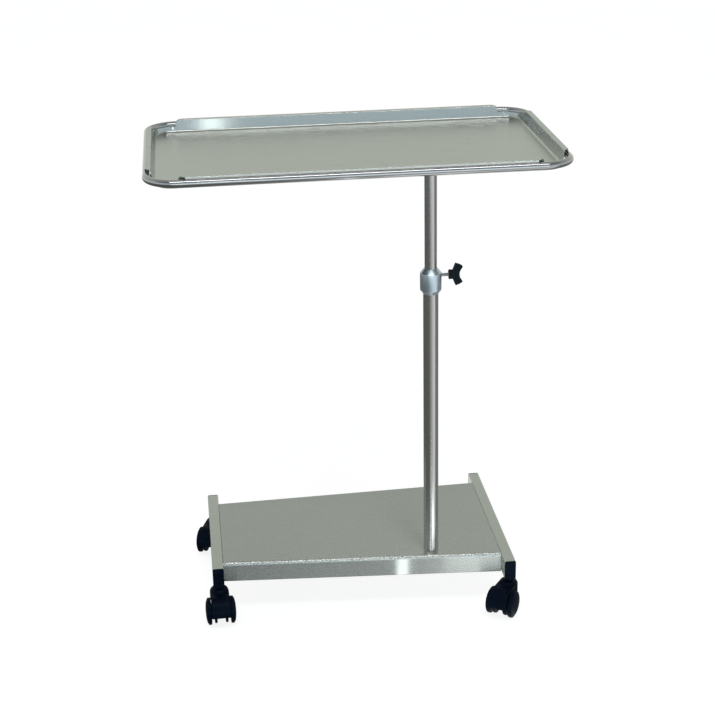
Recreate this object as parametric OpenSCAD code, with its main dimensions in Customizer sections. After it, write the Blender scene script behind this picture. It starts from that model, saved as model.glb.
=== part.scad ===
// Mayo table: a wheeled instrument stand of stainless steel
// Millimetres. +Z up, +X along the tray, +Y away from the front skirt.
// The origin is on the floor, under the middle of the whole stand.

/* [Tray] */
// Height of the tray's rim above the floor with the column as drawn
table_h = 792; // [700:1:900]
// Length of the rod frame over all
frame_w = 664; // [560:1:760]
// Depth of the rod frame over all
frame_d = 392; // [320:1:480]
// Diameter of the frame's rod
rod_d = 12; // [10:0.5:14]
// Corner radius of the rod frame at the rod's centre line
rod_corner = 48; // [40:1:60]
// Thickness of the tray's sheet
tray_t = 1; // [0.8:0.1:1.2]
// Depth of the tray from its rim to its floor
tray_depth = 20; // [18:0.5:24]
// Distance from the frame's outer edge to the flat floor of the tray
tray_inset = 21.5; // [20:0.5:26]
// Distance from the frame's outer edge to the edge of the tray's rim
rim_inset = 4.5; // [4:0.25:5]
// Height of the tray's rim above the rod
rim_rise = 4; // [3.5:0.25:5]
// Lean of the tray's walls from upright, in degrees
wall_lean = 15; // [8:1:18]
// Corner radius of the tray's floor
tray_corner = 26; // [22:1:30]
// Height of the low wall round each corner of the tray
corner_wall_h = 9; // [6:0.5:12]
// Distance of the tray's centre behind the origin, which puts the origin under the middle
tray_y = 10.9; // [0:0.1:20]

/* [Column] */
// Distance of the column to the right of the tray's centre
post_x = 113; // [60:1:160]
// Distance of the column in front of the tray's centre
post_front = 116; // [90:1:140]
// Outer diameter of the outer post
post_d = 25; // [24:0.5:28]
// Wall of the outer post
post_wall = 1.5; // [1.2:0.1:1.8]
// Length of the outer post above the shelf
post_len = 488.5; // [420:0.5:540]
// Outer diameter of the inner post
inner_d = 20; // [18:0.5:20]
// Wall of the inner post
inner_wall = 1.5; // [1.2:0.1:2]
// Length of the inner post
inner_len = 460; // [380:1:480]
// Size of the square plate on the inner post
plate_w = 46; // [40:1:80]
// Thickness of that plate
plate_t = 3; // [2.5:0.5:6]
// Width of the flat bars under the tray
bar_w = 16; // [14:1:24]
// Thickness of the flat bars under the tray
bar_t = 4; // [3:0.5:5]

/* [Clamp collar] */
// Outer diameter of the collar
collar_d = 35; // [34:0.5:40]
// Height of the collar
collar_h = 42; // [40:1:56]
// Depth of the collar's seat on the outer post
collar_seat = 22; // [18:1:24]
// Height of the collar's top cone
cone_h = 8; // [6:0.5:9]
// Height of the chamfer at the collar's foot
chamfer_h = 7; // [4:0.5:9]
// Height of the clamp screw above the collar's foot
stud_h = 29.5; // [28:0.5:31]
// Thread size of the clamp screw
stud_d = 6; // [5:0.5:7]
// Free length of the clamp screw between collar and knob
stud_free = 11.5; // [6:0.5:20]
// Diameter of the knob's hub
knob_hub_d = 16; // [13:0.5:19]
// Length of the knob's hub
knob_hub_len = 10; // [8:0.5:14]
// Width of the knob across the tips of its two wings
knob_span = 36.5; // [34:0.5:46]
// Thickness of the knob's wings
knob_t = 7; // [5:0.5:10]

/* [Base] */
// Width of the base over both side tubes
base_w = 510; // [440:1:580]
// Distance from the column to the right outer face of the base
post_from_right = 135; // [100:1:160]
// Width of a side tube
tube_w = 19; // [18:0.5:24]
// Height of a side tube
tube_h = 34; // [31:0.5:40]
// Wall of a side tube
tube_wall = 1.5; // [1.2:0.1:2]
// Corner radius of a side tube
tube_r = 2.5; // [2:0.25:4]
// Length of the left side tube with its end caps
left_len = 280; // [240:1:340]
// Length of the right side tube with its end caps
right_len = 344; // [300:1:400]
// How far the left tube stands in front of the skirt
left_front = 21; // [10:0.5:30]
// How far the right tube stands in front of the skirt
right_front = 32.5; // [10:0.5:40]
// How far the left tube stands behind the shelf
left_back = 35; // [30:1:60]
// How far the right tube stands behind the shelf
right_back = 37; // [30:1:60]
// Thickness of an end cap
cap_t = 2.5; // [2:0.25:3.5]

/* [Shelf] */
// Thickness of the shelf's sheet
shelf_t = 1.2; // [1:0.1:1.5]
// How far the shelf lies below the top of the side tubes
shelf_drop = 0.5; // [0.5:0.5:4]
// How much nearer the skirt's right end stands than its left end
skirt_skew = 35.5; // [0:0.5:60]
// Distance from the skirt's face to the column's axis
post_setback = 24; // [20:0.5:30]
// Outer radius of the skirt's top bend
skirt_r = 6; // [4:0.5:8]
// Width of the flange folded in at the skirt's foot
skirt_hem = 9; // [6:0.5:12]
// How far the skirt's foot lies below the side tubes
skirt_over = 2; // [0:0.5:5]
// Depth of the flange at the shelf's back edge
back_flange = 15; // [10:0.5:24]
// Outer radius of the back edge's bend
back_r = 4; // [3:0.5:6]
// Depth of the shelf's side flanges
side_flange = 22; // [12:0.5:28]
// Width of the channel under the column
rail_w = 32; // [28:1:34]
// Height of the channel under the column
rail_h = 26; // [20:1:28]

/* [Casters] */
// Height of a caster, from the floor to the side tube
caster_h = 61.5; // [58:0.5:66]
// Diameter of a wheel
wheel_d = 46; // [44:0.5:48]
// Width over both wheels of a caster
wheels_w = 51.5; // [50:0.5:60]
// Distance from the stem to the axle
trail = 25; // [20:0.5:28]
// Diameter of the stem
stem_d = 10; // [8:0.5:10]
// Distance from the end of a side tube to the stem
stem_inset = 15; // [12:0.5:18]
// Width of the hood
hood_w = 32; // [32:0.5:34]
// Directions in which the casters trail, in degrees: front left, back left, front right, back right
headings = [-88, 253, -124, 165];

/* [Hidden] */
CORNERS = ["front_left", "back_left", "front_right", "back_right"];
CASTER_PARTS = ["cap", "nut", "stem", "hood", "axle", "left_wheel", "right_wheel"];
$fn = 64;

// Clearances
run_gap = 0.05;      // radial, between pieces that turn or slide in each other
fix_gap = 0.02;      // radial, between pieces that are fixed in each other
seat_gap = 0.2;      // between moving pieces that rest on each other
e = 0.01;            // how far a cut runs past a face

// Heights
tube_top = caster_h + tube_h;
shelf_top = tube_top - shelf_drop;
collar_z = shelf_top + post_len - collar_seat;
stud_z = collar_z + stud_h;
rod_z = table_h - rim_rise - rod_d / 2;
floor_top = table_h - tray_depth;
bar_top = floor_top - tray_t - 0.5;
plate_top = bar_top - bar_t;
inner_top = plate_top - plate_t;
inner_bottom = inner_top - inner_len;

// Plan of the base
post_y = tray_y - post_front;
right_x = post_x + post_from_right;
left_x = right_x - base_w;
shelf_x0 = left_x + tube_w;
shelf_x1 = right_x - tube_w;
skirt_slope = skirt_skew / (shelf_x1 - shelf_x0);
function skirt_y(x) = post_y - post_setback - skirt_slope * (x - post_x);
left_y0 = skirt_y(shelf_x0) - left_front;
left_y1 = left_y0 + left_len;
right_y0 = skirt_y(shelf_x1) - right_front;
right_y1 = right_y0 + right_len;
back_left_y = left_y1 - left_back;
back_right_y = right_y1 - right_back;
back_slope = (back_right_y - back_left_y) / (shelf_x1 - shelf_x0);
left_axis = left_x + tube_w / 2;
right_axis = right_x - tube_w / 2;
STEMS = [[left_axis, left_y0 + stem_inset], [left_axis, left_y1 - stem_inset],
         [right_axis, right_y0 + stem_inset], [right_axis, right_y1 - stem_inset]];

// Colours
STEEL = [0.74, 0.76, 0.74];
BRIGHT = [0.84, 0.86, 0.87];
BLACK = [0.09, 0.10, 0.12];
ZINC = [0.70, 0.71, 0.72];
NYLON = [0.86, 0.86, 0.82];

// Points of an arc about c, from angle a0 to a1
function arc(c, r, a0, a1, n = 8) =
    [for (i = [0:n]) let (a = a0 + (a1 - a0) * i / n) c + r * [cos(a), sin(a)]];

// A rectangle with true round corners, centred on the origin
module round_rect(w, h, r) {
    square([w - 2 * r, h], center = true);
    square([w, h - 2 * r], center = true);
    for (x = [-1, 1]) for (y = [-1, 1])
        translate([x * (w / 2 - r), y * (h / 2 - r)]) circle(r);
}

// Side tubes and their end caps

tube_in_r = max(tube_r - tube_wall, 0.5);
module tube_section() {
    difference() {
        round_rect(tube_w, tube_h, tube_r);
        round_rect(tube_w - 2 * tube_wall, tube_h - 2 * tube_wall, tube_in_r);
    }
}

// A side tube between its two end caps, drilled underneath for the two stems
module side_tube(axis_x, y0, y1) {
    color(STEEL) difference() {
        translate([axis_x, y1 - cap_t, caster_h + tube_h / 2]) rotate([90, 0, 0])
            linear_extrude(y1 - y0 - 2 * cap_t) tube_section();
        for (y = [y0 + stem_inset, y1 - stem_inset])
            translate([axis_x, y, caster_h - e])
                cylinder(d = stem_d + 2 * run_gap, h = tube_wall + 2 * e);
    }
}

module left_tube() { side_tube(left_axis, left_y0, left_y1); }
module right_tube() { side_tube(right_axis, right_y0, right_y1); }

plug_len = 3;

// Black plastic cap on the end of a side tube: way is 1 at the back end and -1 at the front end
module end_cap(axis_x, end_y, way) {
    inside = [tube_w - 2 * tube_wall - 0.1, tube_h - 2 * tube_wall - 0.1];
    color(BLACK) translate([axis_x, end_y, caster_h + tube_h / 2]) rotate([way * 90, 0, 0]) {
        linear_extrude(cap_t) round_rect(tube_w, tube_h, tube_r);
        translate([0, 0, cap_t]) linear_extrude(plug_len) difference() {
            round_rect(inside[0], inside[1], tube_in_r);
            square(inside - [3, 3], center = true);
        }
    }
}

// Shelf

// Sheet folded down from the flat at y = 0: a lap under the flat's edge, a bend of outer radius
// r, then down to depth, with a flange of length hem folded back under
fold_lap = 6;
function skirt_outer(r, depth, hem) = concat(
    [[r + fold_lap, 0]],
    arc([r, -r], r, 90, 180),
    hem > 0 ? concat(arc([2, 2 - depth], 2, 180, 270, 4), [[hem, -depth]]) : [[0, -depth]]);
function skirt_inner(r, depth, hem, t) = concat(
    hem > 0 ? concat([[hem, t - depth]], arc([2, 2 - depth], 2 - t, 270, 180, 4)) : [[t, -depth]],
    arc([r, -r], r - t, 180, 90),
    [[r + fold_lap, -t]]);
module fold_profile(r, depth, hem, t) {
    polygon(concat(skirt_outer(r, depth, hem), skirt_inner(r, depth, hem, t)));
}

// A fold laid along a sloping edge: the edge's face passes through [x, y], and way is 1 where the
// face looks to the front and -1 where it looks to the back
module edge_fold(x, y, slope, way, r, depth, hem) {
    run = 2 * base_w;
    translate([x, y, shelf_top]) rotate([0, 0, atan(slope)]) scale([1, way, 1])
        translate([-run / 2, 0, 0]) rotate([90, 0, 90]) linear_extrude(run)
            fold_profile(r, depth, hem, shelf_t);
}

module shelf() {
    front_flat = (skirt_r + fold_lap / 2) / cos(atan(skirt_slope));
    back_flat = (back_r + fold_lap / 2) / cos(atan(back_slope));
    depth = shelf_top - caster_h + skirt_over;
    flange_start = rail_start + rail_w + 12;
    color(STEEL) difference() {
        union() {
            intersection() {
                union() {
                    edge_fold(post_x, skirt_y(post_x), -skirt_slope, 1, skirt_r, depth, skirt_hem);
                    edge_fold(shelf_x0, back_left_y, back_slope, -1, back_r, back_flange, 0);
                }
                translate([shelf_x0, -base_w, 0])
                    cube([shelf_x1 - shelf_x0, 2 * base_w, tube_top]);
            }
            translate([0, 0, shelf_top - shelf_t]) linear_extrude(shelf_t)
                polygon([[shelf_x0, skirt_y(shelf_x0) + front_flat],
                         [shelf_x1, skirt_y(shelf_x1) + front_flat],
                         [shelf_x1, back_right_y - back_flat],
                         [shelf_x0, back_left_y - back_flat]]);
            for (s = [[shelf_x0, skirt_y(shelf_x0), back_left_y],
                      [shelf_x1 - shelf_t, skirt_y(shelf_x1), back_right_y]])
                translate([s[0], s[1] + flange_start, shelf_top - side_flange])
                    cube([shelf_t, s[2] - s[1] - flange_start - back_r - 2,
                          side_flange - shelf_t / 2]);
        }
        translate([post_x, post_y, rail_top - e])
            cylinder(r = post_d / 2 + fix_gap, h = shelf_t + 2 * e);
    }
}

// Channel that carries the column, parallel to the skirt, from one side tube to the other
rail_t = 2;
rail_start = skirt_r + 0.3;
rail_top = shelf_top - shelf_t;
module front_rail() {
    color(STEEL) difference() {
        intersection() {
            translate([post_x, skirt_y(post_x), rail_top]) rotate([0, 0, -atan(skirt_slope)])
                translate([-base_w, 0, 0]) rotate([90, 0, 90]) linear_extrude(2 * base_w)
                    difference() {
                        translate([rail_start, -rail_h]) square([rail_w, rail_h]);
                        translate([rail_start + rail_t, -rail_h - e])
                            square([rail_w - 2 * rail_t, rail_h - rail_t + e]);
                    }
            translate([shelf_x0, -base_w, 0]) cube([shelf_x1 - shelf_x0, 2 * base_w, tube_top]);
        }
        translate([post_x, post_y, rail_top - rail_t - e])
            cylinder(d = bolt_d + 1, h = rail_t + 2 * e);
    }
}

// Column

// Outer post: it passes through the shelf and stands on the channel
module outer_post() {
    whole = post_len + shelf_t;
    color(STEEL) translate([post_x, post_y, rail_top]) difference() {
        cylinder(d = post_d, h = whole);
        translate([0, 0, -e]) cylinder(d = post_d - 2 * post_wall, h = whole + 2 * e);
    }
}

bolt_d = 10;
plug_h = 26;
washer_t = 2;
bolt_head_h = 6.4;
bore_r = post_d / 2 - post_wall;

// Threaded plug in the foot of the outer post
module foot_plug() {
    color(ZINC) translate([post_x, post_y, rail_top]) difference() {
        cylinder(r = bore_r - fix_gap, h = plug_h);
        translate([0, 0, -e]) cylinder(d = bolt_d + 2 * run_gap, h = plug_h + 2 * e);
    }
}

module foot_washer() {
    color(ZINC) translate([post_x, post_y, rail_top - rail_t - washer_t]) difference() {
        cylinder(d = 2 * bolt_d, h = washer_t);
        translate([0, 0, -e]) cylinder(d = bolt_d + 2 * run_gap, h = washer_t + 2 * e);
    }
}

module foot_bolt() {
    head_z = rail_top - rail_t - washer_t - bolt_head_h;
    color(ZINC) translate([post_x, post_y, head_z]) {
        cylinder(d = 1.7 * bolt_d / cos(30), h = bolt_head_h, $fn = 6);
        cylinder(d = bolt_d, h = rail_top + plug_h - 4 - head_z);
    }
}

// Turned collar: a seat for the outer post below, a guide for the inner post above
module collar() {
    top_r = inner_d / 2 + 0.8;
    foot_r = post_d / 2 + 0.2;
    r = collar_d / 2;
    color(BRIGHT) translate([post_x, post_y, collar_z]) difference() {
        rotate_extrude() polygon(concat(
            [[0, 0], [foot_r, 0]],
            arc([r - chamfer_h * 0.9, chamfer_h], chamfer_h * 0.9, -55, 0, 4),
            [[r, collar_h - cone_h], [r - 0.6, collar_h - cone_h + 0.8], [top_r, collar_h],
             [0, collar_h]]));
        translate([0, 0, -e]) cylinder(r = post_d / 2 + fix_gap, h = collar_seat + e);
        translate([0, 0, -e]) cylinder(r = inner_d / 2 + run_gap, h = collar_h + 2 * e);
        translate([0, 0, stud_h]) rotate([0, 90, 0])
            cylinder(r = stud_d / 2 + run_gap, h = collar_d);
    }
}

// Bush in the lower end of the inner post: it slides in the outer post and the inner post
// turns on its spigot
bush_head = 12;
bush_spigot = 16;
module guide_bush() {
    color(NYLON) translate([post_x, post_y, inner_bottom]) difference() {
        union() {
            translate([0, 0, -seat_gap - bush_head]) cylinder(r = bore_r - run_gap, h = bush_head);
            translate([0, 0, -seat_gap - e])
                cylinder(r = inner_d / 2 - inner_wall - run_gap, h = bush_spigot);
        }
        translate([0, 0, -seat_gap - bush_head - e]) cylinder(r = 4, h = bush_head + bush_spigot);
    }
}

module inner_post() {
    color(STEEL) translate([post_x, post_y, inner_bottom]) difference() {
        cylinder(d = inner_d, h = inner_len);
        translate([0, 0, -e]) cylinder(d = inner_d - 2 * inner_wall, h = inner_len + 2 * e);
    }
}

// Top of the column

screw_d = 8;
top_plug_h = 22;

module top_plug() {
    color(ZINC) translate([post_x, post_y, inner_top - top_plug_h]) difference() {
        cylinder(r = inner_d / 2 - inner_wall - fix_gap, h = top_plug_h);
        translate([0, 0, -e]) cylinder(d = screw_d + 2 * run_gap, h = top_plug_h + 2 * e);
    }
}

module top_plate() {
    color(STEEL) translate([post_x, post_y, inner_top]) difference() {
        linear_extrude(plate_t) round_rect(plate_w, plate_w, 5);
        translate([0, 0, -e]) cylinder(d = screw_d + 2 * run_gap, h = plate_t + 2 * e);
    }
}

// Countersunk screw through the cross bar and the plate
sink_r = screw_d * 0.85;
sink_h = sink_r - screw_d / 2;
module top_screw() {
    head_top = bar_top - 0.2;
    color(ZINC) translate([post_x, post_y, 0]) {
        translate([0, 0, head_top - sink_h]) cylinder(r1 = screw_d / 2, r2 = sink_r, h = sink_h);
        translate([0, 0, inner_top - top_plug_h + 3])
            cylinder(d = screw_d, h = head_top - sink_h - inner_top + top_plug_h - 3 + e);
    }
}

// Flat bar that runs from the column out to the rod frame and rises to meet the rod. It lies
// along +X from start to reach, the distance from the column to the frame's outer edge.
module frame_bar(start, reach) {
    rise_at = reach - tray_inset + 2;
    rise = rod_z - bar_top + bar_t / 2;
    knee = bar_t * tan(22.5);
    difference() {
        rotate([90, 0, 0]) translate([0, 0, -bar_w / 2]) linear_extrude(bar_w) polygon([
            [start, plate_top], [rise_at + knee, plate_top],
            [rise_at + knee + rise, plate_top + rise], [rise_at + rise, bar_top + rise],
            [rise_at, bar_top], [start, bar_top]]);
        translate([reach - rod_d / 2, 0, rod_z]) rotate([90, 0, 0])
            cylinder(d = rod_d, h = 2 * bar_w, center = true);
        translate([reach - rod_d / 2, -bar_w, rod_z - rod_d])
            cube([rod_d, 2 * bar_w, 2 * rod_d]);
    }
}

module cross_bar() {
    color(STEEL) translate([post_x, post_y, 0]) difference() {
        rotate([0, 0, 90]) frame_bar(-plate_w / 2, tray_y + frame_d / 2 - post_y);
        translate([0, 0, plate_top - e]) cylinder(d = screw_d + 2 * run_gap, h = bar_t + 2 * e);
        translate([0, 0, bar_top - 0.2 - sink_h])
            cylinder(r1 = screw_d / 2 + run_gap, r2 = sink_r + run_gap + 0.3, h = sink_h + 0.3);
    }
}

module left_arm() {
    color(STEEL) translate([post_x, post_y, 0]) rotate([0, 0, 180])
        frame_bar(bar_w / 2, post_x + frame_w / 2);
}

module right_arm() {
    color(STEEL) translate([post_x, post_y, 0]) frame_bar(bar_w / 2, frame_w / 2 - post_x);
}

// Round rod bent to a rounded rectangle
module rod_frame() {
    long = frame_w - rod_d - 2 * rod_corner;
    short = frame_d - rod_d - 2 * rod_corner;
    color(BRIGHT) translate([0, tray_y, rod_z]) {
        for (s = [-1, 1]) {
            translate([-long / 2, s * (frame_d - rod_d) / 2, 0]) rotate([0, 90, 0])
                cylinder(d = rod_d, h = long);
            translate([s * (frame_w - rod_d) / 2, short / 2, 0]) rotate([90, 0, 0])
                cylinder(d = rod_d, h = short);
        }
        for (q = [[1, 1, 0], [-1, 1, 90], [-1, -1, 180], [1, -1, 270]])
            translate([q[0] * long / 2, q[1] * short / 2, 0]) rotate([0, 0, q[2]])
                rotate_extrude(angle = 90) translate([rod_corner, 0]) circle(d = rod_d);
    }
}

// Tray

bend_in = 4;         // inside radius of the bend at the floor
rim_r = 2;           // outer radius of the rim's two bends
rim_drop = rim_rise - seat_gap;

// Section of a wall, with x out from the edge of the flat floor and y up from the floor's top.
// The wall leans out, turns over at the rim and drops onto the rod.
wall_angle = 90 - wall_lean;
rim_x = tray_inset - rim_inset;
wall_x1 = bend_in * sin(wall_angle)
    + (tray_depth - (bend_in + rim_r) * (1 - cos(wall_angle))) / tan(wall_angle)
    + rim_r * sin(wall_angle);
function wall_top_side() = concat(
    arc([0, bend_in], bend_in, 270, 270 + wall_angle, 6),
    arc([wall_x1, tray_depth - rim_r], rim_r, 90 + wall_angle, 90, 6),
    arc([rim_x - rim_r, tray_depth - rim_r], rim_r, 90, 0, 6),
    [[rim_x, tray_depth - rim_drop]]);
function wall_under_side() = concat(
    [[rim_x - tray_t, tray_depth - rim_drop]],
    arc([rim_x - rim_r, tray_depth - rim_r], rim_r - tray_t, 0, 90, 6),
    arc([wall_x1, tray_depth - rim_r], rim_r - tray_t, 90, 90 + wall_angle, 6),
    arc([0, bend_in], bend_in + tray_t, 270 + wall_angle, 270, 6));
module wall_section() { polygon(concat(wall_top_side(), wall_under_side())); }
module low_wall_section() {
    intersection() {
        wall_section();
        translate([0, -tray_t]) square([tray_inset, corner_wall_h + tray_t]);
    }
}

flat_w = frame_w - 2 * tray_inset;
flat_d = frame_d - 2 * tray_inset;

// A wall along one side of the tray: low over its whole length, and tall between two cuts that
// rise at 45 degrees from where the floor's corners start, with the rim's ends cut at 45 degrees
module tray_side(length) {
    half = length / 2;
    top = half - tray_depth;
    step = wall_x1 + tray_t + 0.1;
    rotate([90, 0, 90]) translate([0, 0, -half]) linear_extrude(length) low_wall_section();
    intersection() {
        rotate([90, 0, 90]) translate([0, 0, -half]) linear_extrude(length) wall_section();
        translate([0, tray_inset, 0]) rotate([90, 0, 0]) linear_extrude(tray_inset) polygon([
            [-half, -tray_t], [half, -tray_t], [half, 0], [top, tray_depth],
            [-top, tray_depth], [-half, 0]]);
        translate([0, 0, -tray_t]) linear_extrude(tray_depth + 2 * tray_t) polygon([
            [-half, 0], [half, 0], [half, step], [top, step],
            [top + step - tray_inset, tray_inset], [tray_inset - step - top, tray_inset],
            [-top, step], [-half, step]]);
    }
}

module tray() {
    long = flat_w - 2 * tray_corner;
    short = flat_d - 2 * tray_corner;
    color(STEEL) translate([0, tray_y, floor_top]) {
        translate([0, 0, -tray_t]) linear_extrude(tray_t) round_rect(flat_w, flat_d, tray_corner);
        for (s = [0, 180]) {
            rotate([0, 0, s]) translate([0, flat_d / 2, 0]) tray_side(long);
            rotate([0, 0, s + 90]) translate([0, flat_w / 2, 0]) tray_side(short);
        }
        for (q = [[1, 1, 0], [-1, 1, 90], [-1, -1, 180], [1, -1, 270]])
            translate([q[0] * long / 2, q[1] * short / 2, 0]) rotate([0, 0, q[2]])
                rotate_extrude(angle = 90) translate([tray_corner, 0]) low_wall_section();
    }
}

// Clamp screw

pad_gap = 0.3;
pad_len = 2.6;
module clamp_place() { translate([post_x, post_y, stud_z]) rotate([0, 90, 0]) children(); }

// Small pad between the screw's end and the inner post
module clamp_pad() {
    color(NYLON) clamp_place() translate([0, 0, inner_d / 2 + pad_gap])
        cylinder(d = stud_d - 0.2, h = pad_len);
}

hub_x = collar_d / 2 + stud_free;
stud_in_knob = knob_hub_len + 2;
module clamp_stud() {
    start = inner_d / 2 + pad_gap + pad_len + run_gap;
    color(ZINC) clamp_place() translate([0, 0, start])
        cylinder(d = stud_d, h = hub_x + stud_in_knob - start);
}

// Knob with two raked wings that form a V
module clamp_knob() {
    half = knob_span / 2;
    hub_r = knob_hub_d / 2;
    color(BLACK) translate([post_x, post_y, stud_z]) difference() {
        union() {
            translate([hub_x, 0, 0]) rotate([0, 90, 0])
                cylinder(r1 = hub_r, r2 = hub_r - 0.5, h = knob_hub_len);
            translate([hub_x, 0, 0]) rotate([90, 0, 0])
                translate([0, 0, -knob_t / 2]) linear_extrude(knob_t)
                    for (m = [0, 1]) mirror([0, m]) polygon([
                        [3, 0], [6.5, hub_r - 0.5], [10.4, half - 0.9], [11.2, half],
                        [12.2, half - 0.1], [22.2, half - 4.9], [22.5, half - 5.9], [18, 5],
                        [17.4, 0]]);
        }
        translate([hub_x - e, 0, 0]) rotate([0, 90, 0])
            cylinder(r = stud_d / 2 + fix_gap, h = stud_in_knob + 0.1);
    }
}

// Casters

wheel_r = wheel_d / 2;
web_t = 13.6;                     // thickness of the hood's middle web
fender_r = wheel_r + 3.4;
fender_t = 2.2;
boss_r = hood_w / 2;
boss_low = wheel_r + 8;
hood_gap = 7.5;                   // between the hood and the side tube
flange_t = 1;                     // collar of the stem, under the side tube
hood_top = caster_h - hood_gap;
neck_top = caster_h - flange_t - seat_gap;
stem_low = hood_top - 17;
fender_low = 22;                  // height of the fender's free edge above the floor
axle_d = 6;
nut_len = 14;
nut_h = 10;

// Puts a piece of a caster at its stem, turned so that +X is the way it trails
module at_caster(i) { translate(STEMS[i]) rotate([0, 0, headings[i]]) children(); }

module caster_cap(i) {
    x = i < 2 ? left_axis : right_axis;
    ends = [left_y0, left_y1, right_y0, right_y1];
    end_cap(x, ends[i], i % 2 == 0 ? -1 : 1);
}

// Threaded block inside the side tube
module caster_nut(i) {
    w = tube_w - 2 * tube_wall - 2 * tube_in_r - 0.4;
    color(ZINC) translate([STEMS[i][0], STEMS[i][1], caster_h + tube_wall]) difference() {
        translate([-w / 2, -nut_len / 2, 0]) cube([w, nut_len, nut_h]);
        translate([0, 0, -e]) cylinder(d = stem_d + 2 * run_gap, h = nut_h + 2 * e);
    }
}

module caster_stem(i) {
    color(ZINC) at_caster(i) {
        translate([0, 0, stem_low])
            cylinder(d = stem_d, h = caster_h + tube_wall + nut_h + 2 - stem_low);
        translate([0, 0, caster_h - flange_t]) cylinder(d = stem_d + 7, h = flange_t);
    }
}

// Side view of the hood's fender and web
module hood_outline() {
    axle = [trail, wheel_r];
    lip = [2, hood_top - 5];
    d = norm(lip - axle);
    tangent = atan2(lip[1] - axle[1], lip[0] - axle[0]) - acos(fender_r / d);
    touch = axle + fender_r * [cos(tangent), sin(tangent)];
    intersection() {
        translate(axle) circle(fender_r);
        polygon([[trail - 10, fender_low], [2 * fender_r + trail, fender_low],
                 [2 * fender_r + trail, caster_h], [-4, caster_h], [-4, boss_low]]);
    }
    translate(axle) circle(d = axle_d + 10);
    polygon([[0, boss_low], [0, hood_top - 5.5], lip, touch, axle]);
}

// Black hood: a web between the wheels, a fender over them and a boss with a neck round the stem
module caster_hood(i) {
    color(BLACK) at_caster(i) difference() {
        union() {
            rotate([90, 0, 0]) translate([0, 0, -hood_w / 2]) linear_extrude(hood_w)
                hood_outline();
            rotate_extrude() polygon(concat(
                [[0, boss_low], [boss_r - 3, boss_low], [boss_r, boss_low + 3]],
                arc([boss_r - 8, hood_top - 8], 8, 0, 90, 6),
                [[boss_r - 8, neck_top - 0.6], [boss_r - 8.6, neck_top], [0, neck_top]]));
        }
        for (s = [-1, 1]) translate([trail, s * (web_t / 2 + hood_w / 2), wheel_r])
            rotate([90, 0, 0]) cylinder(r = fender_r - fender_t, h = hood_w, center = true);
        translate([trail, 0, wheel_r]) rotate([90, 0, 0])
            cylinder(d = axle_d + 2 * fix_gap, h = hood_w, center = true);
        translate([0, 0, stem_low - 1]) cylinder(d = stem_d + 2 * run_gap, h = caster_h);
    }
}

wheel_in = web_t / 2 + 0.4;
wheel_out = wheels_w / 2;
bore_end = wheel_out - 3.5;

module caster_axle(i) {
    color(ZINC) at_caster(i) translate([trail, 0, wheel_r]) rotate([90, 0, 0])
        cylinder(d = axle_d, h = 2 * (bore_end - 0.1), center = true);
}

// Wheel with a narrow inner rim, a groove and a broad outer rim under a domed cover:
// side is 1 for the wheel on +Y and -1 for the one on -Y
module caster_wheel(i, side) {
    rim = hood_w / 2 + 0.4;
    dome_y = rim + 5.6;
    color(BLACK) at_caster(i) translate([trail, 0, wheel_r]) rotate([-90 * side, 0, 0])
        rotate_extrude() polygon(concat(
            [[axle_d / 2 + run_gap, wheel_in], [wheel_r - 3, wheel_in], [wheel_r - 2, wheel_in + 1],
             [wheel_r - 2, wheel_in + 3], [wheel_r - 3, wheel_in + 3.8],
             [wheel_r - 10, wheel_in + 4.6], [wheel_r - 10, rim - 0.6], [wheel_r - 1.5, rim],
             [wheel_r, rim + 1.2], [wheel_r, dome_y - 1.6]],
            [for (k = [0:6]) let (a = 15 * k)
                [(wheel_r - 0.6) * cos(a), dome_y + (wheel_out - dome_y) * sin(a)]],
            [[0, bore_end], [axle_d / 2 + run_gap, bore_end]]));
}

left_tube();
right_tube();
shelf();
front_rail();
outer_post();
foot_plug();
foot_washer();
foot_bolt();
collar();
guide_bush();
inner_post();
top_plug();
top_plate();
top_screw();
cross_bar();
left_arm();
right_arm();
rod_frame();
tray();
clamp_pad();
clamp_stud();
clamp_knob();
for (i = [0:3]) {
    caster_cap(i);
    caster_nut(i);
    caster_stem(i);
    caster_hood(i);
    caster_axle(i);
    caster_wheel(i, 1);
    caster_wheel(i, -1);
}
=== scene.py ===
import math

import bmesh
import bpy
from mathutils import Matrix, Vector


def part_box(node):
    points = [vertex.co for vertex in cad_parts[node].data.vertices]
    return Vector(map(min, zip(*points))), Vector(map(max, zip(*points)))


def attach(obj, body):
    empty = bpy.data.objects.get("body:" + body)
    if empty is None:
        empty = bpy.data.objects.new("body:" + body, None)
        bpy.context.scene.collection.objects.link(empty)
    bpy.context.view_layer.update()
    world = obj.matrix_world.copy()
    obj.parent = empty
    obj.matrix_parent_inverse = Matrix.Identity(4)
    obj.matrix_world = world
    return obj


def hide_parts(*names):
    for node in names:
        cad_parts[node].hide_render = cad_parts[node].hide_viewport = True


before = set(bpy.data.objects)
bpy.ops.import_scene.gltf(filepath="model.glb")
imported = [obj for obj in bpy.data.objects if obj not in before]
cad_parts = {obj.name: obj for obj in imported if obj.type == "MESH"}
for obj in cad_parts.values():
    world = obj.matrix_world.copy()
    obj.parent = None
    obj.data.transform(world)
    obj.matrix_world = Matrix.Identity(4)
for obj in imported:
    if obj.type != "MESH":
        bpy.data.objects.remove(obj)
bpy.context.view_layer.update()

MM = 0.001
UP = Vector((0, 0, 1))
CORNERS = ("front_left", "back_left", "front_right", "back_right")

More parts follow.
